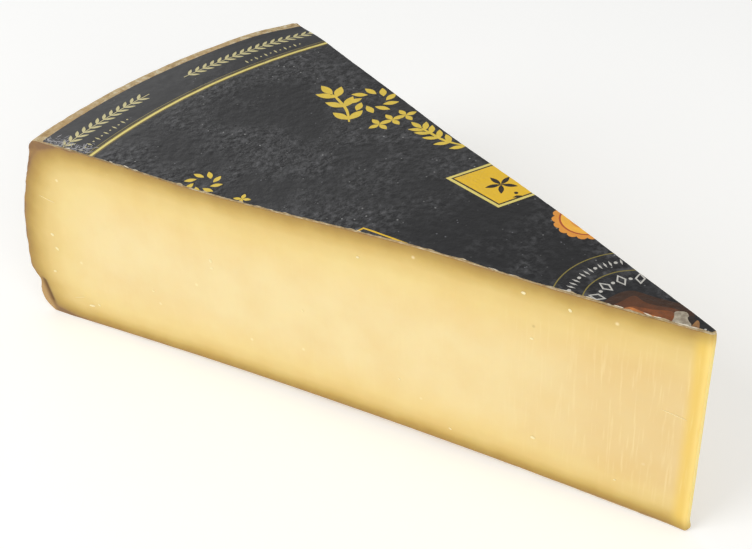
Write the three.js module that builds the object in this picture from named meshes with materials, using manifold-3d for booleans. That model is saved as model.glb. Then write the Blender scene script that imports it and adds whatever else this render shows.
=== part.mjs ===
// One wedge, a twelfth of a wheel of hard mountain cheese, with its share of the round paper label
// still glued to the upper rind.
//
// The wheel is a solid of revolution: a flat foot, a bulging side with the groove that the hoop of the
// press leaves near the foot, and an upper face that climbs a little to the rim, with one low swell and
// one low dip. The label is a thin round sheet that follows the upper face. A knife takes two straight
// cuts through both. They meet a little past the middle of the wheel, so the wedge has two flat cut
// faces and a sharp tip. Between the tip and the foot the underside is slightly hollow, so the wedge
// stands on its tip and on a flat strip along the heel.
//
// Frame: +Z up, the tip towards +X and the rind side, the heel, towards -X. The origin is under the
// middle of the bounding box, in the plane that the wedge stands on. Sizes are in millimetres and
// degrees. The shapes are made about the wheel's axis and moved to that origin at the end.

import * as THREE from "three";
import { mergeVertices } from "three/addons/utils/BufferGeometryUtils.js";
import Module from "manifold-3d";

const wasm = await Module();
wasm.setup();

// --- the two cuts
const wedgeAngle = 29.8;
const tip = new THREE.Vector2(30.4, 3); // where the cuts meet, from the wheel's axis

// --- the side of the wheel, as insets from its widest ring, the belly
const bellyRadius = 310;
const bellyHeight = 29;
const shoulderInset = 17.5; // where the side ends and the rim starts to turn over
const grooveHeight = 17;
const grooveInset = 3.4;
const lipHeight = 11.5; // the bead between the groove and the foot
const lipInset = 2.6;
const footInset = 9;

// --- the rim, the upper face and the underside
const rimHeight = 103;
const rimRounding = { across: 6, down: 6 };
const climbToRim = 1.6; // how much lower the upper face is in the middle of the wheel
const innerSwell = { from: 20, to: 150, height: 1.3 };
const outerDip = { from: 110, to: 270, height: -1.9 };
const hollowDepth = 3.8;
const standingStrip = 12; // the flat strip along the heel, from the hollow to the foot's edge

// --- the label
const labelMargin = 3.2; // the bare ring of rind left round it
const paperThickness = 0.14;
const glueThickness = 0.1;

// --- how finely round shapes are stepped
const stepsRound = 180;
const stepsAcrossFace = 30;
const stepsUpSide = 24;
const stepsRoundEdge = 4;

const footRadius = bellyRadius - footInset;
const shoulderRadius = bellyRadius - shoulderInset;
const shoulderHeight = rimHeight - rimRounding.down;
const faceRadius = shoulderRadius - rimRounding.across;
const labelRadius = faceRadius - labelMargin;

// A smooth bump between two radii: 0 at both ends and the full height half-way.
function bump(radius, { from, to, height }) {
  const share = THREE.MathUtils.clamp((radius - from) / (to - from), 0, 1);
  return (height * (1 - Math.cos(2 * Math.PI * share))) / 2;
}

function upperHeight(radius) {
  const climb = climbToRim * (1 - radius / faceRadius);
  return rimHeight - climb + bump(radius, innerSwell) + bump(radius, outerDip);
}

// Points from one radius to another, at a height that depends on the radius.
function acrossFace(from, to, heightAt) {
  return Array.from({ length: stepsAcrossFace + 1 }, (_, i) => {
    const radius = THREE.MathUtils.lerp(from, to, i / stepsAcrossFace);
    return new THREE.Vector2(radius, heightAt(radius));
  });
}

// The side of the wheel as one smooth curve, from the foot to the shoulder.
function sideOutline() {
  const curve = new THREE.SplineCurve([
    new THREE.Vector2(footRadius, 0),
    new THREE.Vector2(bellyRadius - lipInset - 1.3, lipHeight * 0.4),
    new THREE.Vector2(bellyRadius - lipInset, lipHeight),
    new THREE.Vector2(bellyRadius - grooveInset, grooveHeight),
    new THREE.Vector2(bellyRadius, bellyHeight),
    new THREE.Vector2(bellyRadius - shoulderInset * 0.3, (bellyHeight + shoulderHeight) / 2),
    new THREE.Vector2(shoulderRadius, shoulderHeight),
  ]);
  return curve.getPoints(stepsUpSide);
}

// The rim turns over in a quarter of an ellipse, from the shoulder to the upper face.
function rimOutline() {
  const rise = upperHeight(faceRadius) - shoulderHeight;
  return Array.from({ length: stepsRoundEdge - 1 }, (_, i) => {
    const turn = ((i + 1) / stepsRoundEdge) * (Math.PI / 2);
    const radius = faceRadius + rimRounding.across * Math.cos(turn);
    return new THREE.Vector2(radius, shoulderHeight + rise * Math.sin(turn));
  });
}

// A full turn about +Z of an outline that starts and ends on the axis.
function turned(outline) {
  return new THREE.LatheGeometry(outline, stepsRound).rotateX(Math.PI / 2);
}

// three.js geometry to a manifold-3d solid, and back.
function toSolid(geometry) {
  const bare = geometry.clone();
  bare.deleteAttribute("normal");
  bare.deleteAttribute("uv");
  const merged = mergeVertices(bare, 1e-4);
  const vertProperties = merged.attributes.position.array;
  const triVerts = new Uint32Array(merged.index.array);
  return new wasm.Manifold(new wasm.Mesh({ numProp: 3, vertProperties, triVerts }));
}

function toGeometry(solid) {
  const { vertProperties, triVerts } = solid.getMesh();
  const geometry = new THREE.BufferGeometry();
  geometry.setAttribute("position", new THREE.BufferAttribute(vertProperties, 3));
  geometry.setIndex(new THREE.BufferAttribute(triVerts, 1));
  const faceted = geometry.toNonIndexed();
  faceted.computeVertexNormals();
  return faceted;
}

function wheel() {
  const upper = acrossFace(faceRadius, 0, upperHeight);
  return toSolid(turned([new THREE.Vector2(0, 0), ...sideOutline(), ...rimOutline(), ...upper]));
}

function roundLabel() {
  const lower = (radius) => upperHeight(radius) + glueThickness;
  const upper = (radius) => lower(radius) + paperThickness;
  return toSolid(turned([...acrossFace(0, labelRadius, lower), ...acrossFace(labelRadius, 0, upper)]));
}

// The space under the wedge, a low vault about the tip that ends where the standing strip begins.
function hollow() {
  const reach = tip.x + footRadius - standingStrip;
  const height = (radius) => (hollowDepth * 4 * radius * (reach - radius)) / reach ** 2;
  const below = [new THREE.Vector2(reach, -rimHeight), new THREE.Vector2(0, -rimHeight)];
  return toSolid(turned([...acrossFace(0, reach, height), ...below].reverse()).translate(tip.x, tip.y, 0));
}

// What the knife leaves: everything between its two cuts.
function betweenCuts() {
  const reach = bellyRadius * 1.5;
  const halfWidth = reach * Math.tan(THREE.MathUtils.degToRad(wedgeAngle / 2));
  const plan = new THREE.Shape([
    new THREE.Vector2(tip.x, tip.y),
    new THREE.Vector2(tip.x - reach, tip.y + halfWidth),
    new THREE.Vector2(tip.x - reach, tip.y - halfWidth),
  ]);
  const block = new THREE.ExtrudeGeometry(plan, { depth: rimHeight * 2, bevelEnabled: false });
  return toSolid(block.translate(0, 0, -rimHeight / 2));
}

function part(name, solid, color, roughness) {
  const material = new THREE.MeshStandardMaterial({ color, roughness, metalness: 0 });
  const mesh = new THREE.Mesh(toGeometry(solid), material);
  mesh.name = name;
  return mesh;
}

const knife = betweenCuts();
const wedge = new THREE.Group();
wedge.add(part("cheese", wheel().intersect(knife).subtract(hollow()), 0xecd490, 0.5));
wedge.add(part("label", roundLabel().intersect(knife), 0x3b3b39, 0.65));

const middle = new THREE.Box3().setFromObject(wedge).getCenter(new THREE.Vector3());
wedge.position.set(-middle.x, -middle.y, 0);

export default wedge;
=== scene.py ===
# %% [markdown]
# # A wedge of hard mountain cheese
#
# The wedge is a twelfth of a wheel that was 62 cm across and 10 cm high. It has two flat cut faces, a strip
# of rind along the heel, and its share of the round paper label that was glued to the wheel before it was
# cut. The frame already holds both pieces at their real size and place, so this lesson only makes them look
# right: a fine mesh for the cheese, a thin printed sheet for the label, and three finishes.

# %% Load the frame and keep its box
import math
import random

import bmesh
import bpy
import numpy as np
from mathutils import Matrix, Vector, geometry, noise


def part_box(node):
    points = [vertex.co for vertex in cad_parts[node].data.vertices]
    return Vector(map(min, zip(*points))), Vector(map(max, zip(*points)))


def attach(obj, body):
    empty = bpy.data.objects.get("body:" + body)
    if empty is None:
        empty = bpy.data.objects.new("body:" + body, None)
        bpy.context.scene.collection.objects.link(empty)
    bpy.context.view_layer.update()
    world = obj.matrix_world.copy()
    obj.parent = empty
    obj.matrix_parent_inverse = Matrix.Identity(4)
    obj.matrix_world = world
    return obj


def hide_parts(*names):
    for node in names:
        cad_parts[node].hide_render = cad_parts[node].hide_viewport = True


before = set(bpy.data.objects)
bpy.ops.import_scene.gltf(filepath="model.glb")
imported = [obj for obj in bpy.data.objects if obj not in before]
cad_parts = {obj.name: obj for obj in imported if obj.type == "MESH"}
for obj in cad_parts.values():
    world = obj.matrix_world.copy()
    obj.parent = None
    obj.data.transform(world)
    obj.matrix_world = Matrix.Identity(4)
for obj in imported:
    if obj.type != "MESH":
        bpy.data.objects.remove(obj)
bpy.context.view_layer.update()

# %% [markdown]
# ## The sizes that shape the wedge
#
# A maker knows a wheel by its radius and height, and a wedge by its angle. Everything here is worked out in
# millimetres about the wheel's own axis, because the rind, the label and its printed rings are all round
# about it. The frame says where the tip lies, and the axis is a little behind the tip, so the knife went
# slightly past the middle of the wheel.

# %% Sizes in millimetres
MM = 0.001
HALF_ANGLE = math.radians(14.9)
BELLY_RADIUS = 310.0
FOOT_RADIUS = 301.0
SHOULDER_RADIUS = 292.5
FACE_RADIUS = 286.5
RIM_HEIGHT = 103.0
SHOULDER_HEIGHT = 97.0
STANDING_STRIP = 12.0
HOLLOW_DEPTH = 3.8
LABEL_RADIUS = 283.3
PAPER_THICKNESS = 0.14
GLUE_THICKNESS = 0.1
NOSE_RADIUS = 0.6  # the blunt edge at the tip

cheese_low, cheese_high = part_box("cheese")
tip_corner = max((v.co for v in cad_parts["cheese"].data.vertices), key=lambda p: p.x)
TIP = Vector((tip_corner.x, tip_corner.y)) / MM
AXIS_TO_TIP = Vector((30.4, 3.0))
AXIS = TIP - AXIS_TO_TIP
LOW = np.array(cheese_low) / MM
HIGH = np.array(cheese_high) / MM
print("tip", tuple(round(x, 2) for x in TIP), "wheel axis", tuple(round(x, 2) for x in AXIS))

# %% [markdown]
# ## The camera
#
# The wedge is seen from its near side and above, a little turned, as on a shop's counter. A long lens from
# about half a metre keeps the far end of the wedge nearly as tall as the near end.

# %% Place the camera
CAMERA_FROM_TIP = Vector((162.1, -323.7, 389.7))
CAMERA_AZIMUTH = math.radians(45.92)
CAMERA_ELEVATION = math.radians(36.47)
CAMERA_ROLL = math.radians(-3.212)

scene = bpy.context.scene


def in_scene(name, data):
    """An object that holds this data, linked to the scene."""
    made = bpy.data.objects.new(name, data)
    scene.collection.objects.link(made)
    return made


def mesh_in_scene(name, mesh):
    """The same for a finished bmesh, which is freed."""
    data = bpy.data.meshes.new(name)
    mesh.to_mesh(data)
    mesh.free()
    return in_scene(name, data)


camera_data = bpy.data.cameras.new("camera")
camera_data.sensor_width = 36.0
camera_data.lens = 60.58
camera_data.clip_start = 0.01
camera_data.clip_end = 20.0
camera = in_scene("camera", camera_data)
camera.matrix_world = (
    Matrix.Translation((Vector((TIP.x, TIP.y, 0)) + CAMERA_FROM_TIP) * MM)
    @ Matrix.Rotation(CAMERA_AZIMUTH, 4, "Z")
    @ Matrix.Rotation(math.pi / 2 - CAMERA_ELEVATION, 4, "X")
    @ Matrix.Rotation(CAMERA_ROLL, 4, "Z")
)
scene.camera = camera
print("camera", tuple(round(x, 3) for x in camera.matrix_world.translation))

# %% [markdown]
# ## The faces of the wheel
#
# The upper face climbs a little to the rim and has one low swell and one low dip, left by the boards that
# the wheel ripened on. The underside is a very shallow vault. Both are heights that depend only on how far
# a point is from the axis or from the tip, so two short functions hold them. The knife wandered a little at
# the far cut, so that face leans outwards near the tip and half-way, and the far corner of the rim is worn.

# %% Heights of the upper face and the underside
CLIMB_TO_RIM = 1.6
INNER_SWELL = (20, 150, 1.3)  # from and to, as distances from the axis, and its height
OUTER_DIP = (110, 270, -1.9)
LEAN_BEFORE_TIP = 1.8
LEAN_LOST_AT_TIP = 0.5
LEAN_HALFWAY = (145, 290, 1.7)  # from and to, as distances from the tip, and how far out
CORNER_DIP = 1.9
CORNER_WORN_ACROSS = 16


def bump(radius, start, end, height):
    """0 at both radii and the full height half-way."""
    share = np.clip((radius - start) / (end - start), 0, 1)
    return height * (1 - np.cos(2 * np.pi * share)) / 2


def upper_height(radius):
    """The wheel's upper face, by distance from the axis."""
    climb = CLIMB_TO_RIM * (1 - radius / FACE_RADIUS)
    return RIM_HEIGHT - climb + bump(radius, *INNER_SWELL) + bump(radius, *OUTER_DIP)


def under_height(reach):
    """The vault under the wedge, by distance from the tip."""
    span = AXIS_TO_TIP.x + FOOT_RADIUS - STANDING_STRIP
    return np.clip(HOLLOW_DEPTH * 4 * reach * (span - reach) / span**2, 0, None)


def reach_to(radius, turn):
    """How far it is from the tip to a ring about the axis, in a direction between the cuts."""
    towards = AXIS_TO_TIP.x * np.cos(turn) - AXIS_TO_TIP.y * np.sin(turn)
    return towards + np.sqrt(towards**2 - AXIS_TO_TIP.length_squared + radius**2)


def far_lean(reach):
    """How far the far cut stands out past its plane, by distance from the tip."""
    fall = np.clip((140 - reach) / 80, 0, 1)
    before_tip = LEAN_BEFORE_TIP * fall**2 * (3 - 2 * fall)
    lost = LEAN_LOST_AT_TIP * np.exp(-((reach / 10) ** 2))
    return before_tip - lost + bump(reach, *LEAN_HALFWAY)


FAR_EDGE = float(reach_to(LABEL_RADIUS, HALF_ANGLE))
FAR_CORNER = TIP + Vector((-math.cos(HALF_ANGLE), math.sin(HALF_ANGLE))) * FAR_EDGE


def corner_dip(x, y):
    """How far the upper face sinks at its far corner, where the rim has been handled and worn."""
    from_corner = (x - FAR_CORNER.x) ** 2 + (y - FAR_CORNER.y) ** 2
    return CORNER_DIP * np.exp(-from_corner / CORNER_WORN_ACROSS**2)


print("upper face, mm:", [round(float(upper_height(r)), 2) for r in (0, 85, 190, 286)])

# %% [markdown]
# ## The outline of the side
#
# The side bulges, because the cheese was pressed in a hoop, and the hoop's lower edge left a groove with a
# bead under it. A smooth line through a few points draws it, and a quarter of an ellipse turns the rim over
# on to the upper face.

# %% Draw the side and the rim
def smooth_through(points, steps=12):
    """A smooth line that passes through every point."""
    knots = [Vector((x, y, 0)) for x, y in points]
    line = []
    for i in range(len(knots) - 1):
        before, after = knots[max(i - 1, 0)], knots[min(i + 2, len(knots) - 1)]
        start, end = knots[i], knots[i + 1]
        handles = start + (end - before) / 6, end - (after - start) / 6
        line += geometry.interpolate_bezier(start, *handles, end, steps + 1)[:-1]
    return [Vector((p.x, p.y)) for p in line + [knots[-1]]]


side = smooth_through([
    (FOOT_RADIUS, 0),
    (BELLY_RADIUS - 3.9, 4.6),
    (BELLY_RADIUS - 2.6, 11.5),
    (BELLY_RADIUS - 3.5, 18.2),
    (BELLY_RADIUS - 1.3, 22.2),
    (BELLY_RADIUS, 30),
    (BELLY_RADIUS - 5.25, 63),
    (SHOULDER_RADIUS, SHOULDER_HEIGHT),
])
rim_run = SHOULDER_RADIUS - FACE_RADIUS
rim_rise = float(upper_height(FACE_RADIUS)) - SHOULDER_HEIGHT
rim = [
    Vector((FACE_RADIUS + rim_run * math.cos(t), SHOULDER_HEIGHT + rim_rise * math.sin(t)))
    for t in np.linspace(0, np.pi / 2, 9)[1:]
]
outline = np.array(side + rim)
outline_length = np.concatenate([[0], np.cumsum(np.hypot(*np.diff(outline, axis=0).T))])
outline_share = outline_length / outline_length[-1]
print("the side is", round(float(outline_length[-1]), 1), "mm from foot to face")

# %% [markdown]
# ## A block of cheese, before it is bent to shape
#
# The cheese starts as a cube that is cut into even rows, because a regular grid takes noise and wear
# without pinches. Its faces already have their finish: the two cuts and the blunt tip show the paste, and
# everything else is rind.

# %% Subdivide a cube into rows
ROWS_ALONG = 250
ROWS_ACROSS = 76
ROWS_UP = 78
PASTE, RIND, CRYSTAL = 0, 1, 2


def rowed_block():
    """A cube of even rows whose faces carry their finish."""
    block = bmesh.new()
    bmesh.ops.create_cube(block, size=2.0)
    for axis, rows in enumerate((ROWS_ALONG, ROWS_ACROSS, ROWS_UP)):
        edges = [e for e in block.edges if abs((e.verts[0].co - e.verts[1].co)[axis]) > 1e-4]
        bmesh.ops.subdivide_edges(block, edges=edges, cuts=rows - 1, use_grid_fill=True)
    for face in block.faces:
        middle = face.calc_center_median()
        is_cut = abs(middle.y) > 0.9999 or middle.x > 0.9999
        face.material_index = PASTE if is_cut else RIND
    return block


cheese_mesh = rowed_block()
print("block:", len(cheese_mesh.verts), "vertices,", len(cheese_mesh.faces), "faces")

# %% [markdown]
# ## Bend the block into a wedge
#
# Along the block runs the way from the tip to the heel, across it the angle between the two cuts, and up it
# the height. The rows are drawn together towards the edges, where the rind and the crumbs need the detail.
# The tip is a nose half a millimetre round, because no knife leaves a perfect edge on cheese, and at its foot
# a crumb of rind sticks out, where the knife met the board.

# %% Map every vertex to its place
CRUMB_OUT = 1.3
CRUMB_MIDDLE = 1.5
CRUMB_TALL = 2.2


def crowded(share, crowding):
    """Even rows, drawn together towards both ends."""
    return share - crowding * np.sin(2 * np.pi * share) / (2 * np.pi)


def bent(block_points):
    """Points of the wedge in millimetres, from points of the block."""
    along = crowded((1 - block_points[:, 0]) / 2, 0.35)
    across = 2 * crowded((1 + block_points[:, 1]) / 2, 0.3) - 1
    up = crowded((1 + block_points[:, 2]) / 2, 0.6)
    ring = np.interp(up, outline_share, outline[:, 0])
    ring_height = np.interp(up, outline_share, outline[:, 1])
    turn = across * HALF_ANGLE
    heel_reach = reach_to(ring, turn)
    heel = np.stack([TIP.x - heel_reach * np.cos(turn), TIP.y + heel_reach * np.sin(turn)], 1)
    nose_turn = across * (math.pi / 2 - HALF_ANGLE)
    nose_middle = np.array(TIP) - [NOSE_RADIUS / math.sin(HALF_ANGLE), 0]
    nose = nose_middle + NOSE_RADIUS * np.stack([np.cos(nose_turn), np.sin(nose_turn)], 1)
    place = nose + (heel - nose) * along[:, None]
    lean = far_lean(np.hypot(*(place - np.array(TIP)).T)) * (1 + across) / 2
    place = place + lean[:, None] * [math.sin(HALF_ANGLE), math.cos(HALF_ANGLE)]

    def between_faces(spot):
        under = under_height(np.hypot(*(spot - np.array(TIP)).T))
        over = upper_height(np.hypot(*(spot - np.array(AXIS)).T)) - corner_dip(*spot.T)
        return (1 - up) * under + up * over

    ring_height = ring_height - up**3 * corner_dip(*heel.T)
    height = between_faces(place) + along**8 * (ring_height - between_faces(heel))
    painted_tip_glow = np.clip(1 - along * 60, 0, 1)
    crumb = CRUMB_OUT * np.exp(-((height - CRUMB_MIDDLE) / CRUMB_TALL) ** 2) * painted_tip_glow
    return np.column_stack([place[:, 0] + crumb, place[:, 1], height])


points = np.array([v.co for v in cheese_mesh.verts])
on_cut = np.abs(points[:, 1]) > 0.9999
on_nose = points[:, 0] > 0.9999
on_heel = points[:, 0] < -0.9999
on_top = points[:, 2] > 0.9999
on_foot = points[:, 2] < -0.9999
placed = bent(points)
for vertex, spot in zip(cheese_mesh.verts, placed):
    vertex.co = spot
cheese_mesh.normal_update()
print("wedge, mm:", placed.min(0).round(1), placed.max(0).round(1))

# %% [markdown]
# ## How deep each point lies under the rind
#
# Cheese ripens from the outside in, so its colour depends on how far a point is from the rind: brown-gold
# under it and pale in the middle. That distance is stored on the mesh, and the finish reads it. Where two
# sides meet, the smaller distance wins smoothly, which rounds the pale heart of the cut face. The bead at the
# foot is nearly all rind, and a pressed crease parts it from the paste. The paste is painted dark in the
# crease as shade, so both are stored as well.

# %% Store the depth under the rind
RIPENED_AT_SIDE = 0.75  # less than 1 where the ripened band is wider than under the upper face
RIPENED_AT_FOOT = 1.25
CREASE_REACH = 329.2  # from the tip, at the foot
CREASE_SLOPE = 0.23
BEAD_TOP = 20.5


def rind_depth(spots):
    """Distance in millimetres to the nearest of the side, the upper face and the underside."""
    from_axis = np.hypot(*(spots[:, :2] - np.array(AXIS)).T)
    from_tip = np.hypot(*(spots[:, :2] - np.array(TIP)).T)
    to_side = (np.interp(spots[:, 2], outline[:, 1], outline[:, 0]) - from_axis) * RIPENED_AT_SIDE
    to_top = upper_height(from_axis) - spots[:, 2] + 0.6
    to_foot = (spots[:, 2] - under_height(from_tip)) * RIPENED_AT_FOOT
    softness = 7.0
    nearest = np.exp(-np.clip(np.stack([to_side, to_top, to_foot]), 0, None) / softness).sum(0)
    return np.clip(-softness * np.log(nearest), 0, None)


def beyond_crease(spots):
    """How far out each point lies from the crease that parts the bead at the foot from the paste."""
    from_tip = np.hypot(*(spots[:, :2] - np.array(TIP)).T)
    return from_tip - (CREASE_REACH + CREASE_SLOPE * spots[:, 2])


outwards = beyond_crease(placed)
over_foot = np.clip((placed[:, 2] - 3) / 4, 0, 1)
under_groove = np.clip((BEAD_TOP - placed[:, 2]) / 2, 0, 1)
creased = np.exp(-((outwards / 1.5) ** 2)) * (over_foot * under_groove) * on_cut
beaded = np.clip(outwards / 1.2, 0, 1) * under_groove * on_cut
depth_layer, crease_layer, bead_layer = [
    cheese_mesh.verts.layers.float.new(name) for name in ("rind_depth", "crease", "bead")
]
for vertex, depth, crease, bead in zip(cheese_mesh.verts, rind_depth(placed), creased, beaded):
    vertex[depth_layer] = depth
    vertex[crease_layer] = crease
    vertex[bead_layer] = bead
print("deepest paste lies", round(max(v[depth_layer] for v in cheese_mesh.verts), 1), "mm under the rind")

# %% [markdown]
# ## Wear and relief
#
# Five things roughen the real wedge. The knife leaves long shallow waves on the cut faces, the rind is
# pitted, the groove is deeper in some places than in others, both ends of the tip are worn round, and the
# sharp edges crumble. All of them take cheese away, so every vertex moves inwards along its normal and the
# wedge stays inside its box. The crease at the bead is pressed in the same way.

# %% Carve the relief
def waves(spot, size):
    """Smooth noise from 0 to 1, with lumps about as large as the given size in millimetres."""
    return 0.5 + 0.5 * noise.noise(spot / size)


def paper_relief(x, y):
    """How far the upper face and the label on it sink below their smooth shape."""
    spot = Vector((x, y, 0))
    broad = waves(spot, 26) * 0.16
    pimples = waves(spot + Vector((0, 0, 40)), 4.5) * 0.16
    return broad + pimples


CREASE_DEPTH = 0.6
GROOVE_HEIGHT = 18.5


def carved(spot, cut, heel, top, foot, nose):
    """How many millimetres the surface loses at a vertex."""
    edges = cut + heel + top + foot + nose
    loss = 0.0
    if cut or nose:
        loss += 0.2 * waves(spot, 42) + 0.05 * waves(spot, 7)
    if heel:
        loss += 0.35 * waves(spot, 11) ** 2 + 0.3 * waves(spot, 2.6) ** 2
        groove = math.exp(-(((spot.z - GROOVE_HEIGHT) / 2.0) ** 2))
        loss += groove * 1.5 * waves(spot, 14) ** 2
    if foot:
        loss += 0.3 * waves(spot, 6)
    if top:
        loss += 0.05 + paper_relief(spot.x, spot.y)
    if nose:
        loss += 0.9 * math.exp(-((spot.z / 2.5) ** 2))
        loss += 0.5 * math.exp(-(((spot.z - RIM_HEIGHT) / 3) ** 2))
    if edges > 1 and cut:
        loss += 0.1 + 0.5 * waves(spot, 4) ** 3 + 0.25 * waves(spot, 1.5) ** 2
    return loss


flags = np.stack([on_cut, on_heel, on_top, on_foot, on_nose], 1).astype(int).tolist()
for vertex, flag in zip(cheese_mesh.verts, flags):
    loss = carved(vertex.co.copy(), *flag) + CREASE_DEPTH * vertex[crease_layer]
    vertex.co -= vertex.normal * loss
print(int(on_cut.sum()), "vertices on the cuts,", int(on_heel.sum()), "on the heel")

# %% [markdown]
# ## Crystals and scratches on the near cut
#
# Long ripening grows small white crystals in the paste, and the cut bares them. Each is a thin lens that
# lies in the face, since only its broken side shows, and a fine scratch is the same lens drawn out long.

# %% Set the crystals and scratches
ALONG_NEAR = Vector((-math.cos(HALF_ANGLE), -math.sin(HALF_ANGLE)))
LENS_HALF_THICKNESS = 0.22
# Each row: reach from the tip, height, half-width, half-height and tilt in degrees.
BARED = [
    (320, 50, 1.1, 0.7, 20), (319, 42, 1.2, 0.7, 40), (324, 27, 1.0, 0.6, -15), (304, 12, 1.9, 0.6, -10),
    (299, 14, 0.8, 0.5, 30), (225, 64, 1.0, 0.7, 80), (225, 60, 0.8, 0.6, 10), (262, 35, 0.7, 0.4, 0),
    (178, 52, 0.6, 0.4, 60), (131, 31, 0.7, 0.4, 15), (75, 96, 1.0, 0.7, 0), (56, 94, 0.9, 0.6, 50),
    (71, 75, 0.8, 0.5, 0), (69, 23, 1.1, 0.7, 10), (148, 90, 0.7, 0.5, 0), (107, 12, 0.8, 0.4, 20),
    (33, 15, 0.6, 0.4, 0), (12.5, 59, 5.6, 0.16, 9), (318, 71, 5.0, 0.12, 12), (311, 15, 4.0, 0.14, -20),
]
for reach, height, half_width, half_height, tilt in BARED:
    middle = TIP + ALONG_NEAR * reach
    lens = (
        Matrix.Translation((middle.x, middle.y, height))
        @ Matrix.Rotation(HALF_ANGLE, 4, "Z")
        @ Matrix.Rotation(math.radians(tilt), 4, "Y")
        @ Matrix.Diagonal((half_width, LENS_HALF_THICKNESS, half_height, 1))
    )
    made = bmesh.ops.create_icosphere(cheese_mesh, subdivisions=2, radius=1.0, matrix=lens)
    for face in {face for vertex in made["verts"] for face in vertex.link_faces}:
        face.material_index = CRYSTAL
print(len(BARED), "crystals and scratches")

# %% [markdown]
# ## The cheese as one piece
#
# The finished block becomes a mesh in metres, smooth everywhere except along the knife's edges, which an
# angle finds. It takes the place of the frame's cheese.

# %% Make the cheese
SHARP_FROM = math.radians(40)

inside = np.clip(np.array([v.co for v in cheese_mesh.verts]), LOW, HIGH)
for vertex, spot in zip(cheese_mesh.verts, inside):
    vertex.co = spot * MM
cheese_mesh.normal_update()
for face in cheese_mesh.faces:
    face.smooth = True
for edge in cheese_mesh.edges:
    if edge.calc_face_angle(0) > SHARP_FROM:
        edge.smooth = False

cheese = mesh_in_scene("cheese_wedge", cheese_mesh)
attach(cheese, "root")
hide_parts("cheese")
print("cheese:", len(cheese.data.polygons), "faces")

# %% [markdown]
# ## Pen strokes for the label
#
# The label is black coated paper with gold rings, ornaments and a few bright patches. It carries no words:
# garlands, leaves and lozenges fill the places where a printer would set them. Each ornament is a closed
# outline in millimetres about the wheel's axis, given an ink, and later outlines print over earlier ones.

# %% Inks and outline helpers
INKS = {
    "black": "18181A",
    "gold": "E8C846",
    "pale gold": "E8D676",
    "old gold": "6E5C16",
    "soft gold": "CFC48C",
    "thin gold": "8A7C3A",
    "yellow": "F0C22A",
    "dark brown": "2A1E14",
    "orange": "EA9C3C",
    "bright orange": "FCBC46",
    "red orange": "B4562A",
    "grey white": "C9C6BE",
    "worn grey": "6C6C70",
    "scuff": "A09EA0",
    "paper core": "C8B48E",
    "torn white": "E6DCC6",
    "picture dark": "3A2415",
    "picture brown": "65391C",
    "picture rust": "8A4C22",
    "picture orange": "D48340",
    "picture cream": "C9BFA9",
    "picture tan": "A87A48",
}
INK_NAMES = list(INKS)
print_shapes = []


def ink(points, ink_name):
    """Adds a closed outline to the print, wound anticlockwise."""
    area = sum(a.x * b.y - b.x * a.y for a, b in zip(points, points[1:] + points[:1]))
    print_shapes.append((points if area > 0 else points[::-1], INK_NAMES.index(ink_name)))


def on_label(radius, degrees):
    """A point of the label: distance from the axis, and angle from the line to the heel."""
    turn = math.radians(degrees)
    return Vector((-radius * math.cos(turn), radius * math.sin(turn)))


def headed(degrees, length=1.0):
    """A step in a direction."""
    return Vector((math.cos(math.radians(degrees)), math.sin(math.radians(degrees)))) * length


def band(inner, outer, start, end):
    """A stretch of a ring."""
    steps = max(2, int(outer * math.radians(end - start) / 2))
    angles = [start + (end - start) * i / steps for i in range(steps + 1)]
    return [on_label(inner, a) for a in angles] + [on_label(outer, a) for a in reversed(angles)]


def leaf(root, length, width, heading, steps=7):
    """A leaf that is pointed at both ends."""
    along, across = headed(heading), headed(heading + 90)
    shares = [i / steps for i in range(steps + 1)]
    left = [root + along * length * s + across * width / 2 * math.sin(math.pi * s) for s in shares]
    right = [root + along * length * s - across * width / 2 * math.sin(math.pi * s) for s in shares[1:-1]]
    return left + right[::-1]


def lozenge(middle, length, width, heading):
    """A diamond with its long way along the heading."""
    along, across = headed(heading, length / 2), headed(heading + 90, width / 2)
    return [middle + along, middle + across, middle - along, middle - across]


def dot(middle, radius, steps=12):
    """A round spot."""
    return [middle + headed(360 * i / steps, radius) for i in range(steps)]


def stroke(points, widest, narrowest=0.5):
    """A pen stroke along a smooth line, widest half-way."""
    line = smooth_through(points, 5)
    left, right = [], []
    for i, point in enumerate(line):
        ahead = line[min(i + 1, len(line) - 1)] - line[max(i - 1, 0)]
        across = Vector((-ahead.y, ahead.x)).normalized()
        swell = math.sin(math.pi * i / (len(line) - 1))
        half = (narrowest + (widest - narrowest) * swell) / 2
        left.append(point + across * half)
        right.append(point - across * half)
    return left + right[::-1]


print(len(INKS), "inks")

# %% [markdown]
# ## Rings and garlands near the rim
#
# A bold gold ring with a hairline beside it divides the label. Outside it runs a garland of slender leaves,
# with a finer row of lozenges under it. The garland stops for a short stretch, as a printed band does
# between its two ends.

# %% Print the rings and the garlands
ink(band(253.3, 256.3, -24, 24), "old gold")
ink(band(254.1, 255.5, -24, 24), "pale gold")
ink(band(257.1, 257.5, -24, 24), "thin gold")


def garland(start, end):
    """Pairs of slender leaves along a stem."""
    pitch = 0.95
    ink(band(270.7, 271.2, start - 0.6, end), "soft gold")
    for i in range(int((end - start) / pitch)):
        angle = start + pitch * i
        onwards = 90 - angle
        for lean in (-38, 38):
            ink(leaf(on_label(271, angle), 5.8, 1.7, onwards + lean), "soft gold")


def fine_row(start, end):
    """Lozenges and dots in turn."""
    pitch = 0.62
    for i in range(int((end - start) / pitch)):
        angle = start + pitch * i
        middle = on_label(261.6, angle)
        shape = dot(middle, 0.5, 8) if i % 2 else lozenge(middle, 3.6, 1.0, 180 - angle)
        ink(shape, "soft gold")


garland(-17.5, -3.6)
garland(1.6, 19.5)
fine_row(-15.4, -7.6)
fine_row(7.8, 15.8)
print(len(print_shapes), "outlines near the rim")

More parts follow.
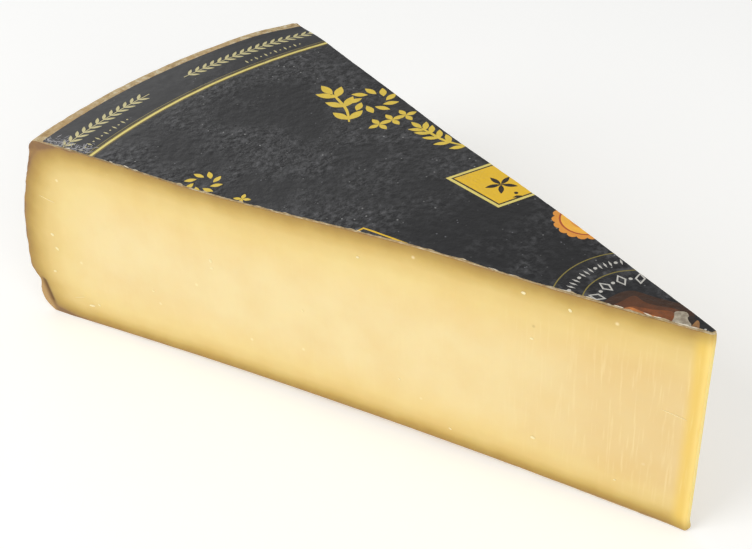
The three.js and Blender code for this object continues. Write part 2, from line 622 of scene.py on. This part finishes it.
# %% [markdown]
# ## Flourishes in the middle of the label
#
# A leafy sprig and a wreath in bold gold stand in the field inside the ring, with a row of small blossoms and
# a second sprig under them, and another wreath at the near edge. The knife has cut some of them.

# %% Print the flourishes
def sprig(stem, leaf_length, leaf_width, pairs, ink_name):
    """A stem with pairs of leaves, and one leaf at its end."""
    ink(stroke(stem, 1.5, 0.8), ink_name)
    line = smooth_through(stem, 12)
    for i in range(pairs):
        at = int((i + 0.25) / pairs * (len(line) - 1))
        ahead = line[min(at + 2, len(line) - 1)] - line[max(at - 2, 0)]
        forward = math.degrees(math.atan2(ahead.y, ahead.x))
        for lean in (-42, 42):
            ink(leaf(line[at], leaf_length, leaf_width, forward + lean), ink_name)
    ahead = line[-1] - line[-4]
    ink(leaf(line[-1], leaf_length, leaf_width, math.degrees(math.atan2(ahead.y, ahead.x))), ink_name)


def blossom(middle, petal, turn, ink_name):
    """Four pointed petals."""
    for i in range(4):
        ink(leaf(middle, petal, petal * 0.5, turn + 90 * i), ink_name)


def wreath(middle, radius, leaves, ink_name):
    """A ring of leaves that follow one another."""
    for i in range(leaves):
        turn = 360 * i / leaves
        ink(leaf(middle + headed(turn, radius * 0.85), radius * 1.15, radius * 0.5, turn + 58), ink_name)


upper_stem = [on_label(*at) for at in ((182, 8.9), (192, 10.6), (203, 11.3), (208, 11.4))]
sprig(upper_stem, 10.5, 4.4, 3, "gold")
wreath(on_label(192, 15.1), 7.0, 9, "gold")

for angle in (11.9, 14.3, 16.7):
    blossom(on_label(171, angle), 6.0, 180 - angle, "gold")
for angle in (13.1, 15.5):
    ink(dot(on_label(171, angle), 0.9), "gold")

lower_stem = [on_label(*at) for at in ((130, 20.0), (140, 17.6), (150, 16.9), (156, 16.6))]
sprig(lower_stem, 8.0, 3.0, 5, "gold")

wreath(on_label(197.5, -14.5), 5.0, 8, "gold")
blossom(on_label(175, -15.6), 4.0, 30, "gold")
print(len(print_shapes), "outlines so far")

# %% [markdown]
# ## The bright patches
#
# A yellow panel with a fine frame, and a round orange rosette, both cut through by the knife at the far
# edge. A sliver of a second panel's frame is left at the near edge.

# %% Print the panel, the rosette and the sliver
PANEL_CORNER = Vector((-111.4, 17.7))
PANEL_ALONG = Vector((31.6, -3.4))
PANEL_UP = Vector((9.6, 30.0))


def panel(inset):
    """The panel's outline, moved inwards."""
    along, up = PANEL_ALONG.normalized() * inset, PANEL_UP.normalized() * inset
    corner = PANEL_CORNER + along + up
    return [
        corner,
        corner + PANEL_ALONG - 2 * along,
        corner + PANEL_ALONG - 2 * along + PANEL_UP - 2 * up,
        corner + PANEL_UP - 2 * up,
    ]


ink(panel(0.0), "pale gold")
ink(panel(1.5), "dark brown")
ink(panel(2.3), "yellow")
fleuron = PANEL_CORNER + PANEL_ALONG * 0.55 + PANEL_UP * 0.42
for heading in (30, 100, 170, 240, 310):
    ink(leaf(fleuron, 7.2, 2.4, heading), "dark brown")
ink(dot(fleuron + PANEL_ALONG * 0.28, 0.9), "dark brown")
ink(lozenge(fleuron + PANEL_ALONG * 0.36 - PANEL_UP * 0.05, 4.4, 1.8, 60), "dark brown")

ROSETTE = Vector((-48.4, 30.8))
for i in range(18):
    ink(dot(ROSETTE + headed(20 * i, 11.2), 2.3, 12), "orange")
ink(dot(ROSETTE, 10.6, 40), "red orange")
ink(dot(ROSETTE, 9.8, 40), "bright orange")
ink(dot(ROSETTE, 6.4, 32), "orange")
ink(dot(ROSETTE, 4.8, 24), "red orange")

ink(stroke([(-112.4, -31.4), (-102.0, -30.0), (-90.5, -28.5)], 0.9, 0.9), "yellow")
ink(stroke([(-112.0, -31.2), (-112.3, -33.4), (-112.6, -36.0)], 0.9, 0.9), "yellow")
print(len(print_shapes), "outlines so far")

# %% [markdown]
# ## The small rings and the picture at the tip
#
# Two hairline arcs run round the middle of the wheel, with a row of small white strokes between them and a
# row of open lozenges inside. At the very tip only soft patches of brown, orange and cream are printed.

# %% Print the middle of the label
ink(band(33.3, 33.8, -60, 75), "thin gold")
ink(band(21.8, 22.3, -70, 110), "thin gold")
for i in range(16):
    angle = -21 + 4.6 * i
    mark = lozenge(on_label(27.6, angle), 3.8, 0.9, 180 - angle)
    ink(mark if i % 4 else dot(on_label(27.6, angle), 0.8, 8), "grey white")
for angle in (-22, 3, 28, 53):
    ink(lozenge(on_label(16.8, angle), 7.0, 4.2, 180 - angle), "grey white")
    ink(lozenge(on_label(16.8, angle), 4.8, 2.6, 180 - angle), "black")
for angle in (-9.5, 15.5, 40.5):
    ink(dot(on_label(16.8, angle), 0.8, 8), "grey white")

along_near = headed(180 + math.degrees(HALF_ANGLE))
near_inward = headed(90 + math.degrees(HALF_ANGLE))


def near_spot(reach, inwards):
    """A point measured from the tip along the near cut, and in from it."""
    return AXIS_TO_TIP + along_near * reach + near_inward * inwards


def blot(ink_name, *knots):
    """A soft-edged patch: a smooth closed line through points given from the near cut."""
    corners = [near_spot(*knot) for knot in knots]
    ink(smooth_through(corners + corners[:1], 6)[:-1], ink_name)


blot("picture dark", (44, -1), (42, 6), (37, 12), (28, 12), (17, 12), (12, 9), (12, -2), (28, -2))
blot("picture brown", (41, -1), (38, 4), (35, 9.5), (30, 7.5), (25, 7.5), (18, 8.4), (15, 5), (15.5, -2),
     (28, -2))
blot("picture rust", (38, -1), (33, 3.4), (26, 4.6), (19.5, 6.4), (17, 3), (17, -1), (26, -2))
blot("picture orange", (37, -1), (34, 2.4), (30, 1.9), (25, 1.4), (20, 1.0), (18, -1), (26, -2))
blot("picture cream", (17.8, -1), (17.8, 3.4), (18.4, 7.0), (14.6, 8.2), (12.6, 5.0), (11.0, 2.0), (10.6, -1))
blot("dark brown", (12.4, 7.4), (13.4, 5.6), (12.2, 3.4), (10.8, 2.6), (10.0, 5.2))
blot("picture tan", (11.2, -1), (10.6, 2.0), (9.8, 5.4), (8.4, 3.6), (7.8, -1))
ink(dot(near_spot(5.6, 1.5), 0.5, 7), "grey white")
ink(dot(near_spot(4.4, 0.9), 0.35, 7), "grey white")
print(len(print_shapes), "outlines so far")

# %% [markdown]
# ## Scuffs, and the torn edge
#
# Paper doesn't cut as cleanly as cheese. The knife has dragged at the near edge, so the black coating is
# gone there in slivers and the pale core of the paper shows. The corner at the heel is scratched, and specks
# of dust lie everywhere.

# %% Print the wear
draw = random.Random(7)
near_length = float(reach_to(LABEL_RADIUS, -HALF_ANGLE))
SLIVERS = 46
SCUFFS = 110
SPECKS = 60


def near_fray(reach):
    """How far the paper's near edge has drawn back from the cut, in millimetres."""
    spot_there = Vector((reach, 3.7, 0))
    return 0.45 + 0.9 * waves(spot_there, 9.0) ** 2 + 0.5 * waves(spot_there, 1.7) ** 3


def torn_width(reach):
    """How wide the bare core of the paper shows along the near edge."""
    return 3.4 * max(0.0, waves(Vector((reach, 9.1, 0)), 4.5) - 0.58)


core_steps = [3 + 0.9 * i for i in range(int((near_length - 4) / 0.9))]
core_outer = [near_spot(s, near_fray(s) - 0.3) for s in core_steps]
core_inner = [near_spot(s, near_fray(s) + 0.06 + torn_width(s)) for s in core_steps]
ink(core_outer + core_inner[::-1], "paper core")

for i in range(SLIVERS):
    reach = draw.uniform(6, 40) if i % 2 else draw.uniform(40, near_length - 4)
    sliver = near_spot(reach, near_fray(reach) + draw.uniform(-0.2, 0.35))
    heading = 180 + math.degrees(HALF_ANGLE) + draw.uniform(-14, 14)
    ink(leaf(sliver, draw.uniform(1.2, 4.2), draw.uniform(0.4, 0.9), heading, 4), "torn white")
for i in range(SCUFFS):
    reach = draw.uniform(near_length - 26, near_length - 1)
    middle = near_spot(reach, draw.uniform(0.4, 4.0) * draw.uniform(0.3, 2.6))
    heading = draw.choice((20, 65, 110, 150)) + draw.uniform(-18, 18)
    scuff = leaf(middle, draw.uniform(1.2, 5.0), draw.uniform(0.3, 0.7), heading, 4)
    ink(scuff, draw.choice(("worn grey", "scuff")))
for i in range(SPECKS):
    middle = on_label(draw.uniform(40, 276), draw.uniform(-15.5, 16.5))
    ink(dot(middle, draw.uniform(0.18, 0.4), 5), "worn grey")
print(len(print_shapes), "outlines in all")

# %% [markdown]
# ## Cut the print into the sheet
#
# The label could be a picture stretched over the mesh, but a printed edge is sharpest when it is an edge of
# the mesh. A constrained triangulation takes the sheet's outline, every ornament and a grid of loose points,
# and gives triangles that never cross a printed edge. Each triangle keeps the number of its topmost ink.

# %% Triangulate the sheet with its print
def sheet_outline():
    """The label's edge: the near cut, the arc at the heel and the far cut."""
    near = [near_spot(s, near_fray(s)) for s in np.arange(3.2, near_length - 0.4, 0.8)]
    along_far = headed(180 - math.degrees(HALF_ANGLE))
    far_inward = headed(-90 - math.degrees(HALF_ANGLE))
    far = [
        AXIS_TO_TIP + along_far * s
        + far_inward * (0.1 + 0.25 * waves(Vector((s, 1.3, 5)), 3) ** 3 - float(far_lean(s)))
        for s in np.arange(3.2, FAR_EDGE - 0.4, 1.2)
    ]
    first, last = (math.degrees(math.atan2(p.y, -p.x)) for p in (near[-1], far[-1]))
    arc = [
        on_label(LABEL_RADIUS - 0.2 * waves(Vector((a, 0, 8)), 0.6), a)
        for a in np.linspace(first, last, 130)[1:-1]
    ]
    return (near + arc + far[::-1])[::-1]


edge_of_sheet = sheet_outline()
GRID = 1.6  # between the loose points
CLEAR_OF_EDGE = 1.5
loose = []
for x in np.arange(-LABEL_RADIUS, AXIS_TO_TIP.x, GRID):
    half_width = (AXIS_TO_TIP.x - x) * math.tan(HALF_ANGLE)
    low_y = AXIS_TO_TIP.y - half_width + CLEAR_OF_EDGE
    high_y = AXIS_TO_TIP.y + half_width - CLEAR_OF_EDGE
    for y in np.arange(low_y, high_y, GRID):
        if math.hypot(x, y) < LABEL_RADIUS - CLEAR_OF_EDGE:
            loose.append(Vector((x + draw.uniform(-0.3, 0.3), y + draw.uniform(-0.3, 0.3))))

corners, loops = [], []
for shape in [edge_of_sheet] + [points for points, _ in print_shapes]:
    loops.append(list(range(len(corners), len(corners) + len(shape))))
    corners += shape
cut_corners, _, cut_faces, _, _, sources = geometry.delaunay_2d_cdt(
    corners + loose, [], loops, 1, 1e-4, True
)
print(len(cut_corners), "corners,", len(cut_faces), "triangles")

# %% [markdown]
# ## Lay the sheet on the cheese
#
# The sheet follows the upper face and every small swelling of the rind under it, a glue line above the
# cheese. A Solidify modifier gives the paper its thickness, downwards, so the printed side stays in place.
# Its rim and its back take the second finish, bare paper.

# %% Make the label
sheet = bmesh.new()
ink_layer = sheet.faces.layers.float.new("ink")
sheet_top = GLUE_THICKNESS + PAPER_THICKNESS
for corner in cut_corners:
    x, y = corner.x + AXIS.x, corner.y + AXIS.y
    z = float(upper_height(corner.length) - corner_dip(x, y)) + sheet_top - paper_relief(x, y)
    sheet.verts.new(Vector((x, y, z)) * MM)
sheet.verts.ensure_lookup_table()
for triangle, inside_of in zip(cut_faces, sources):
    if 0 not in inside_of:
        continue
    face = sheet.faces.new([sheet.verts[i] for i in triangle])
    top_shape = max(inside_of)
    face[ink_layer] = print_shapes[top_shape - 1][1] if top_shape else 0
    face.smooth = True
for edge in sheet.edges:
    edge.smooth = not edge.is_boundary
bmesh.ops.delete(sheet, geom=[v for v in sheet.verts if not v.link_faces], context="VERTS")
sheet.normal_update()
if sum(face.normal.z for face in sheet.faces) < 0:
    bmesh.ops.reverse_faces(sheet, faces=sheet.faces)

label = mesh_in_scene("paper_label", sheet)
thickness = label.modifiers.new("paper thickness", "SOLIDIFY")
thickness.thickness = PAPER_THICKNESS * MM
thickness.offset = -1.0
thickness.material_offset_rim = 1
thickness.material_offset = 1
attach(label, "root")
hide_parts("label")
print("label:", len(label.data.polygons), "triangles on its printed side")

# %% [markdown]
# ## Helpers for the finishes
#
# A few small helpers serve every finish: one turns a printed colour code to the linear values that Blender
# works in, one turns a size in millimetres to a texture scale, one adds a node with its settings and links,
# and one starts a material with its shader.

# %% Node helpers
def colour(code):
    """Linear red, green, blue and alpha from an sRGB hex code."""
    channels = [int(code[i:i + 2], 16) / 255 for i in (0, 2, 4)]
    linear = [c / 12.92 if c <= 0.04045 else ((c + 0.055) / 1.055) ** 2.4 for c in channels]
    return (*linear, 1.0)


def per(millimetres):
    """A texture scale whose features are about this large."""
    return 1 / (millimetres * MM)


def add(tree, kind, sockets=None, stops=None, take=None, **settings):
    """Adds a node, sets its properties, fills or links its sockets, and gives its output."""
    node = tree.nodes.new("ShaderNode" + kind)
    for name, value in settings.items():
        setattr(node, name, value)
    for name, value in (sockets or {}).items():
        if isinstance(value, bpy.types.NodeSocket):
            tree.links.new(value, node.inputs[name])
        else:
            node.inputs[name].default_value = value
    if stops:
        ramp = node.color_ramp
        while len(ramp.elements) < len(stops):
            ramp.elements.new(1.0)
        for element, (position, code) in zip(ramp.elements, stops):
            element.position = position
            element.color = colour(code)
    return node.outputs[take] if take else next((out for out in node.outputs if out.enabled), None)


def new_material(name):
    """An empty material with its output, and the shader that feeds it."""
    material = bpy.data.materials.new(name)
    material.use_nodes = True
    tree = material.node_tree
    tree.nodes.clear()
    shader = add(tree, "BsdfPrincipled").node
    add(tree, "OutputMaterial", {"Surface": shader.outputs["BSDF"]})
    return material, tree, shader


MIX_FACTOR, MIX_A, MIX_B = 0, 6, 7
print("sRGB 808080 is", round(colour("808080")[0], 3), "linear")

# %% [markdown]
# ## The paste: pressed, ripened cow's milk cheese
#
# The paste is dense, slightly waxy and a little translucent, so light goes a few millimetres in and comes
# out warmer. Its colour comes from the stored depth: tan in the rind line, gold under it, ivory in the
# heart. On top lie faint clouds, white crystals, a few pinholes and the knife's drag lines.

# %% Finish the paste
HEART_DEPTH = 40  # millimetres under the rind where the colour stops changing

paste, tree, shader = new_material("ripened pressed cheese paste")
place = add(tree, "TexCoord", take="Object")
depth = add(tree, "Attribute", take="Fac", attribute_name="rind_depth")

uneven = add(tree, "TexNoise", {"Vector": place, "Scale": per(9), "Detail": 3.0})
shift = add(tree, "MapRange", {"Value": uneven, "From Min": 0.3, "From Max": 0.7,
                               "To Min": -0.6, "To Max": 0.6})
shifted = add(tree, "Math", {0: depth, 1: shift}, operation="ADD")
share = add(tree, "Math", {0: shifted, 1: 1 / HEART_DEPTH}, operation="MULTIPLY", use_clamp=True)
ripened = add(tree, "ValToRGB", {"Fac": share}, stops=[
    (millimetres / HEART_DEPTH, code)
    for millimetres, code in (
        (0, "866540"), (0.7, "A07D46"), (1.6, "A98843"), (4, "BA9A4E"), (7, "D0B266"),
        (11, "E0C57E"), (18, "E9D18D"), (28, "ECD598"), (40, "EDD8A0"),
    )
])

clouds = add(tree, "TexNoise", {"Vector": place, "Scale": per(22), "Detail": 4.0})
cloud = add(tree, "MapRange", {"Value": clouds, "From Min": 0.35, "From Max": 0.7, "To Max": 0.2})
finished = add(tree, "Mix", {MIX_FACTOR: cloud, MIX_A: ripened, MIX_B: colour("EBCB88")},
               data_type="RGBA", blend_type="MULTIPLY")

# Crystals and then pinholes: spacing, edge as a share of it, strength and colour. The pinholes' darker colour
# is painted shade inside the holes.
layers = []
for spacing, edge, strength, code in ((17, 0.062, 0.45, "FFF3CC"), (26, 0.045, 0.6, "A98A4C")):
    cells = add(tree, "TexVoronoi", {"Vector": place, "Scale": per(spacing)})
    marks = add(tree, "MapRange", {"Value": cells, "From Min": 0.02, "From Max": edge,
                                   "To Min": 1.0, "To Max": 0.0})
    layers.append((add(tree, "Math", {0: marks, 1: strength}, operation="MULTIPLY"), code))
pinholes = marks

layers.append((add(tree, "Attribute", take="Fac", attribute_name="bead"), "B6925C"))
# The crease is painted dark brown: painted shade in the pressed crease.
layers.append((add(tree, "Attribute", take="Fac", attribute_name="crease"), "684313"))

# Painted light and shade at the tip: towards the tip the heart is painted a darker ochre as shade, the last
# few millimetres are painted yellow for the light that comes through the thin paste, and the blunt nose gets
# a paler painted highlight.
east = add(tree, "SeparateXYZ", {0: place})
in_heart = add(tree, "MapRange", {"Value": depth, "From Min": 8, "From Max": 26})
off_rind = add(tree, "MapRange", {"Value": depth, "From Min": 1.5, "From Max": 10.0, "To Min": 0.25},
               interpolation_type="SMOOTHSTEP")
near_tip, painted_tip_glow, painted_nose_highlight = [
    add(tree, "MapRange", {"Value": east, "From Min": (TIP.x - start) * MM, "From Max": (TIP.x - end) * MM,
                           "To Max": strength}, interpolation_type="SMOOTHSTEP")
    for start, end, strength in ((95, 25, 0.5), (10, 5, 0.75), (5, 2, 0.7))
]
# Paint the shade towards the tip, the glow through it and the highlight on its nose.
for zone, under, code in (
    (near_tip, in_heart, "DCB878"),
    (painted_tip_glow, off_rind, "EBC759"),
    (painted_nose_highlight, off_rind, "F8E08E"),
):
    layers.append((add(tree, "Math", {0: zone, 1: under}, operation="MULTIPLY"), code))

# The knife's drag lines run up and down, mostly near the tip.
lengthened = add(tree, "Mapping", {"Vector": place, "Scale": (1, 1, 0.06)})
drag_lines = add(tree, "TexNoise", {"Vector": lengthened, "Scale": per(1.2), "Detail": 4.0})
zone = add(tree, "MapRange", {"Value": near_tip, "From Max": 0.5, "To Min": 0.15})
drag_zone = add(tree, "Math", {0: zone, 1: in_heart}, operation="MULTIPLY")
drag_share = add(tree, "MapRange", {"Value": drag_lines, "From Min": 0.55, "From Max": 0.75, "To Max": 0.34})
layers.append((add(tree, "Math", {0: drag_share, 1: drag_zone}, operation="MULTIPLY"), "FAEBB8"))
drag_height = add(tree, "Math", {0: drag_lines, 1: drag_zone}, operation="MULTIPLY")

for factor, code in layers:
    finished = add(tree, "Mix", {MIX_FACTOR: factor, MIX_A: finished, MIX_B: colour(code)},
                   data_type="RGBA")

grain = add(tree, "TexNoise", {"Vector": place, "Scale": per(1.1), "Detail": 4.0})
height = add(tree, "Math", {0: drag_height, 1: 0.5, 2: grain}, operation="MULTIPLY_ADD")
height = add(tree, "Math", {0: pinholes, 1: -3.0, 2: height}, operation="MULTIPLY_ADD")
relief = add(tree, "Bump", {"Height": height, "Strength": 0.25, "Distance": 0.12 * MM})

sheen = add(tree, "MapRange", {"Value": grain, "To Min": 0.42, "To Max": 0.6})
tree.links.new(finished, shader.inputs["Base Color"])
tree.links.new(relief, shader.inputs["Normal"])
tree.links.new(sheen, shader.inputs["Roughness"])
shader.inputs["IOR"].default_value = 1.45
shader.inputs["Subsurface Weight"].default_value = 0.25
shader.inputs["Subsurface Radius"].default_value = (1.0, 0.7, 0.35)
shader.inputs["Subsurface Scale"].default_value = 3.0 * MM
cheese.data.materials.append(paste)
print(paste.name, "-", len(tree.nodes), "nodes")

# %% [markdown]
# ## The rind: brushed, salted and dry
#
# A natural rind is rubbed with brine for months and dries to a matt, grainy crust, tan with paler bloom and
# brown stains. Coarse mottling gives its colour and a fine grain breaks up the light.

# %% Finish the rind
rind, tree, shader = new_material("dry brushed natural rind")
place = add(tree, "TexCoord", take="Object")
banded = add(tree, "Mapping", {"Vector": place, "Scale": (0.7, 0.7, 1.5)})
mottling = add(tree, "TexNoise", {"Vector": banded, "Scale": per(2.8), "Detail": 6.0, "Roughness": 0.7})
mottled = add(tree, "ValToRGB", {"Fac": mottling}, stops=[
    (0.34, "A2865C"),
    (0.46, "BFA578"),
    (0.55, "D0BC94"),
    (0.66, "E6DABC"),
])
stains = add(tree, "TexNoise", {"Vector": banded, "Scale": per(34), "Detail": 5.0, "Roughness": 0.6})
stain = add(tree, "MapRange", {"Value": stains, "From Min": 0.46, "From Max": 0.68, "To Max": 0.5})
stained = add(tree, "Mix", {MIX_FACTOR: stain, MIX_A: mottled, MIX_B: colour("BC9660")}, data_type="RGBA")
mould_cells = add(tree, "TexVoronoi", {"Vector": place, "Scale": per(6.5)})
ragged = add(tree, "TexNoise", {"Vector": place, "Scale": per(1.4), "Detail": 3.0})
ragged = add(tree, "Math", {0: ragged, 1: 0.35, 2: mould_cells}, operation="MULTIPLY_ADD")
mould = add(tree, "MapRange", {"Value": ragged, "From Min": 0.26, "From Max": 0.32, "To Min": 0.45,
                               "To Max": 0.0})
spotted = add(tree, "Mix", {MIX_FACTOR: mould, MIX_A: stained, MIX_B: colour("7C6A50")}, data_type="RGBA")
crust = add(tree, "TexNoise", {"Vector": place, "Scale": per(1.6), "Detail": 5.0, "Roughness": 0.7})
relief = add(tree, "Bump", {"Height": crust, "Strength": 0.8, "Distance": 0.4 * MM})
tree.links.new(spotted, shader.inputs["Base Color"])
tree.links.new(relief, shader.inputs["Normal"])
shader.inputs["Roughness"].default_value = 0.8
shader.inputs["IOR"].default_value = 1.45
shader.inputs["Subsurface Weight"].default_value = 0.1
shader.inputs["Subsurface Radius"].default_value = (1.0, 0.6, 0.3)
shader.inputs["Subsurface Scale"].default_value = 1.5 * MM
cheese.data.materials.append(rind)
print(rind.name, "-", len(tree.nodes), "nodes")

# %% [markdown]
# ## The crystals: chalky grains
#
# Crystals of amino acids are dry, hard and nearly white. They scatter the light that enters them, so they
# look a little brighter and warmer than the paste around them.

# %% Finish the crystals
grains, tree, shader = new_material("amino-acid crystals")
shader.inputs["Base Color"].default_value = colour("F8E6B2")
shader.inputs["Roughness"].default_value = 0.5
shader.inputs["Subsurface Weight"].default_value = 0.3
shader.inputs["Subsurface Radius"].default_value = (1.0, 0.8, 0.5)
shader.inputs["Subsurface Scale"].default_value = 1.0 * MM
cheese.data.materials.append(grains)
print("finishes of the cheese:", [material.name for material in cheese.data.materials])

# %% [markdown]
# ## The label: printed, coated black paper
#
# A satin coat lies over the inks, so black looks grey where it mirrors the light. Months on a damp rind
# have raised its fibres: the field inside the ring is blotched and specked, while the band outside it, where
# the paper lies on the hard rim, has stayed smoother.

# %% Finish the printed paper
printed, tree, shader = new_material("printed satin coated paper")
place = add(tree, "TexCoord", take="Object")
ink_number = add(tree, "Attribute", take="Fac", attribute_name="ink")
ink_middle = add(tree, "Math", {0: ink_number, 1: 0.5}, operation="ADD")
ink_share = add(tree, "Math", {0: ink_middle, 1: 1 / len(INKS)}, operation="MULTIPLY")
inked = add(tree, "ValToRGB", {"Fac": ink_share}, stops=[
    (i / len(INKS), code) for i, code in enumerate(INKS.values())
])
inked.node.color_ramp.interpolation = "CONSTANT"

about_axis = add(tree, "Mapping", {"Vector": place, "Location": (-AXIS.x * MM, -AXIS.y * MM, 0),
                                   "Scale": (1, 1, 0)})
from_axis = add(tree, "VectorMath", {0: about_axis}, operation="LENGTH")
in_field = add(tree, "MapRange", {"Value": from_axis, "From Min": 250 * MM, "From Max": 258 * MM,
                                  "To Min": 1.0, "To Max": 0.25})
on_black = add(tree, "Math", {0: ink_number, 1: 0.5}, operation="LESS_THAN")
black_field = add(tree, "Math", {0: in_field, 1: on_black}, operation="MULTIPLY")
patches = add(tree, "TexNoise", {"Vector": place, "Scale": per(32), "Detail": 2.0})
patch = add(tree, "MapRange", {"Value": patches, "From Min": 0.42, "From Max": 0.6, "To Min": 0.1})
wear = add(tree, "Math", {0: black_field, 1: patch}, operation="MULTIPLY")

# Three layers over the inks: blotches and specks on the black, and a fading of the patches at the tip.
blotches = add(tree, "TexNoise", {"Vector": place, "Scale": per(3.2), "Detail": 4.0, "Roughness": 0.6})
blotch = add(tree, "MapRange", {"Value": blotches, "From Min": 0.46, "From Max": 0.7, "To Max": 0.7})
speck_cells = add(tree, "TexVoronoi", {"Vector": place, "Scale": per(4.6)})
speck = add(tree, "MapRange", {"Value": speck_cells, "From Min": 0.06, "From Max": 0.095,
                               "To Min": 0.85, "To Max": 0.0})
on_picture = add(tree, "Math", {0: ink_number, 1: INK_NAMES.index("picture dark") - 0.5},
                 operation="GREATER_THAN")
fading = add(tree, "MapRange", {"Value": blotches, "From Min": 0.4, "From Max": 0.65, "To Max": 0.55})
worn = inked
for pattern, where, code in (
    (blotch, wear, "5E5E60"),
    (speck, wear, "A2A2A0"),
    (fading, on_picture, "4A2E1A"),
):
    factor = add(tree, "Math", {0: pattern, 1: where}, operation="MULTIPLY")
    worn = add(tree, "Mix", {MIX_FACTOR: factor, MIX_A: worn, MIX_B: colour(code)}, data_type="RGBA")

fibres = add(tree, "TexNoise", {"Vector": place, "Scale": per(3.0), "Detail": 4.0, "Roughness": 0.55})
swollen = add(tree, "Math", {0: patch, 1: 0.4}, operation="ADD")
raised = add(tree, "Math", {0: swollen, 1: in_field}, operation="MULTIPLY")
fibre_height = add(tree, "Math", {0: fibres, 1: raised}, operation="MULTIPLY")
relief = add(tree, "Bump", {"Height": fibre_height, "Strength": 1.0, "Distance": 0.6 * MM})
sheen = add(tree, "MapRange", {"Value": blotches, "To Min": 0.32, "To Max": 0.5})
tree.links.new(worn, shader.inputs["Base Color"])
tree.links.new(relief, shader.inputs["Normal"])
tree.links.new(sheen, shader.inputs["Roughness"])
shader.inputs["IOR"].default_value = 1.5
shader.inputs["Specular IOR Level"].default_value = 0.4
label.data.materials.append(printed)
print(printed.name, "-", len(tree.nodes), "nodes")

# %% [markdown]
# ## The paper's rim and back: bare fibres
#
# Where the paper is cut it has no coating and no ink. It is matt, pale and a little stained by the rind.

# %% Finish the bare paper
bare, tree, shader = new_material("bare paper core")
place = add(tree, "TexCoord", take="Object")
fluff = add(tree, "TexNoise", {"Vector": place, "Scale": per(1.5), "Detail": 3.0})
fluffy = add(tree, "ValToRGB", {"Fac": fluff}, stops=[(0.35, "94794E"), (0.65, "CDB88C")])
tree.links.new(fluffy, shader.inputs["Base Color"])
shader.inputs["Roughness"].default_value = 0.85
label.data.materials.append(bare)
print("finishes of the label:", [material.name for material in label.data.materials])

# %% [markdown]
# ## The studio
#
# A plain pale floor, a big soft light from the upper left, a fill from the right and a bright even sky. Big
# lights close to the subject give the broad soft sheen on the coated paper and no hard shadow.

# %% Floor, lights and background
LIGHT_SIDE = 1.2  # metres
LOOK_AT = Vector((0, 0, 0.05))

floor_mesh = bmesh.new()
bmesh.ops.create_grid(floor_mesh, x_segments=1, y_segments=1, size=4.0)
floor = mesh_in_scene("studio_floor", floor_mesh)
floor_material, tree, shader = new_material("matt white paper sweep")
shader.inputs["Base Color"].default_value = colour("F4F4F2")
shader.inputs["Roughness"].default_value = 0.9
shader.inputs["Emission Color"].default_value = (1, 1, 1, 1)
shader.inputs["Emission Strength"].default_value = 0.22
floor.data.materials.append(floor_material)

world = bpy.data.worlds.new("studio")
world.use_nodes = True
scene.world = world
sky = world.node_tree.nodes["Background"]
sky.inputs["Color"].default_value = (1, 1, 1, 1)
sky.inputs["Strength"].default_value = 0.5


def soft_light(name, place, watts):
    """A square light that looks at the wedge."""
    data = bpy.data.lights.new(name, "AREA")
    data.shape = "SQUARE"
    data.size = LIGHT_SIDE
    data.energy = watts
    light = in_scene(name, data)
    light.location = place
    aim = LOOK_AT - Vector(place)
    light.rotation_euler = aim.to_track_quat("-Z", "Y").to_euler()


soft_light("key", (-0.5, -1.5, 1.3), 15.5)
soft_light("fill", (1.6, -0.7, 1.0), 10.5)
soft_light("back", (-2.2, 0.8, 0.9), 5.6)
scene.view_settings.view_transform = "Standard"
